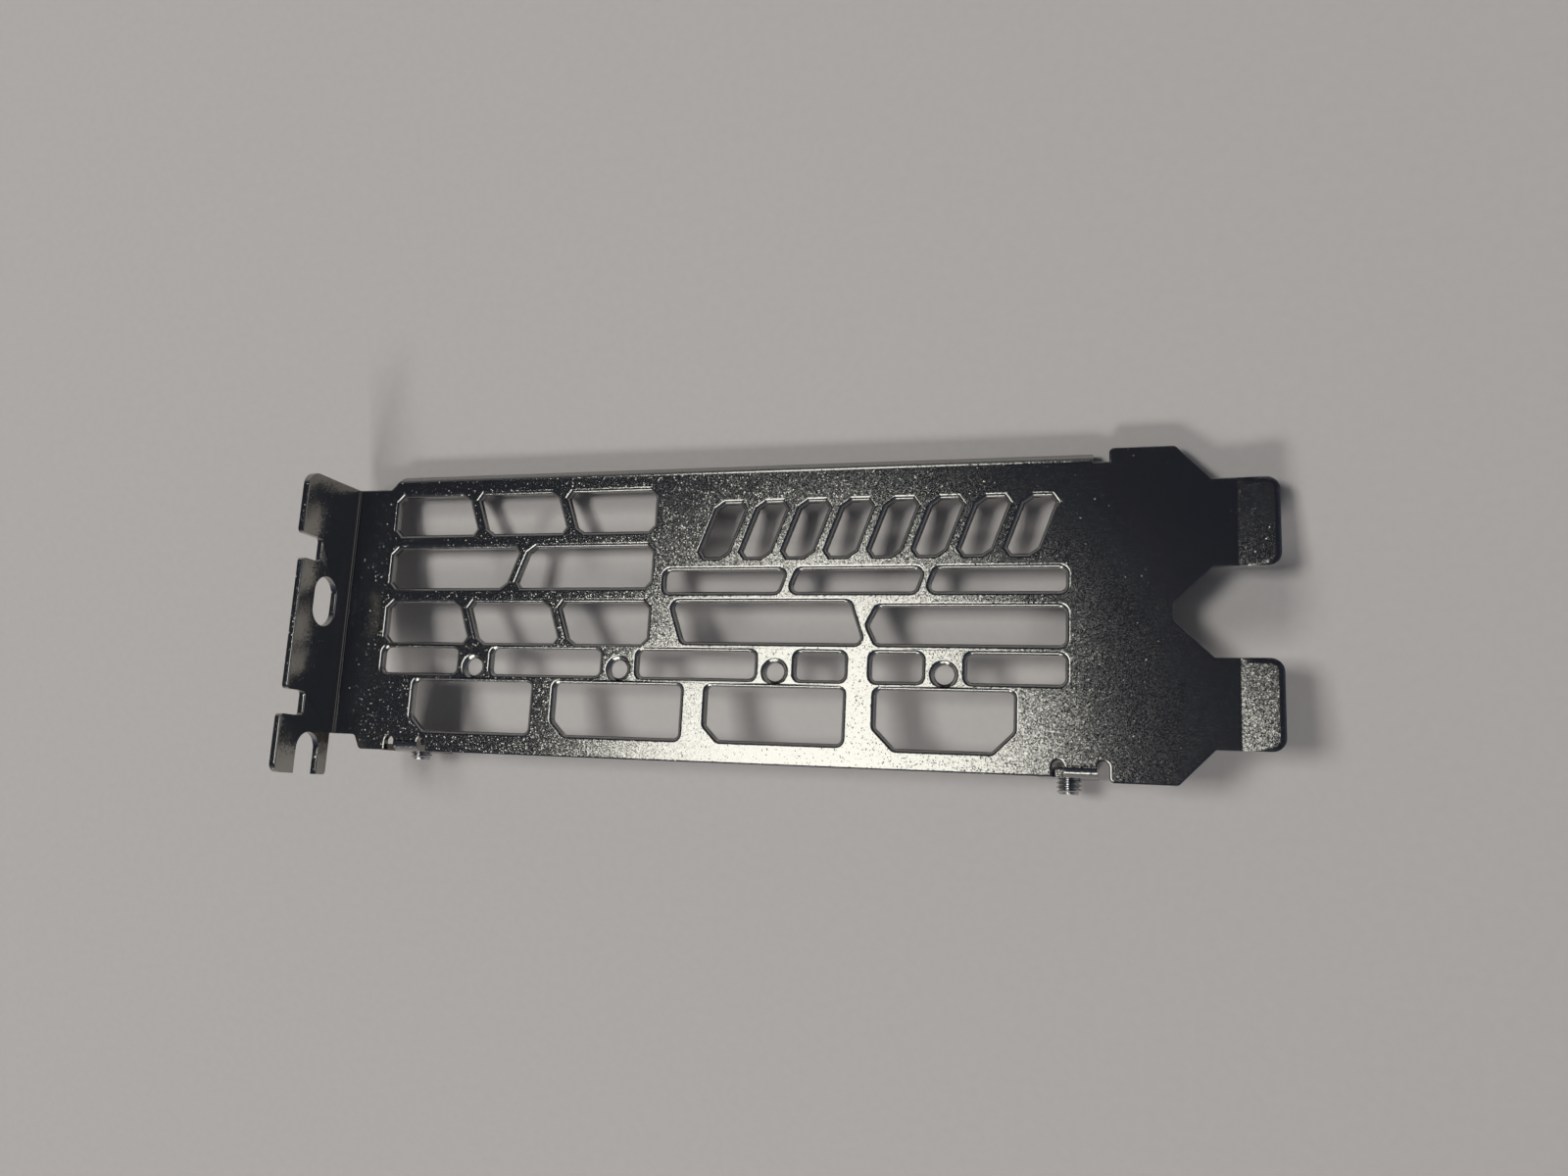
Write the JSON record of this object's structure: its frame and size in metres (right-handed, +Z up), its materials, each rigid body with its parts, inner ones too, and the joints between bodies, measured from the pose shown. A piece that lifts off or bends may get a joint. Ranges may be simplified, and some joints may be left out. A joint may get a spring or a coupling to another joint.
{
  "type": "expansion card slot bracket",
  "caption": "Folded steel two-slot card bracket with vented face, connector openings, screw tab, bent tongues and board ears holding their screws; lies face up.",
  "frame": {"origin": "middle of the resting footprint, on the table plane", "axes": "+X along the length from the screw tab to the tongues, +Y to the flanged edge, +Z up from the table; the face leans 12.3 degrees towards +Y because the ears are deeper than the flange"},
  "size_m": [0.12, 0.0404, 0.0212],
  "materials": {
    "plated_sheet": "satin nickel plate",
    "screw_steel": "dark nickel plate"
  },
  "bodies": {
    "root": {"slot_bracket": "plated_sheet", "ear_screws": "screw_steel"}
  },
  "joints": []
}
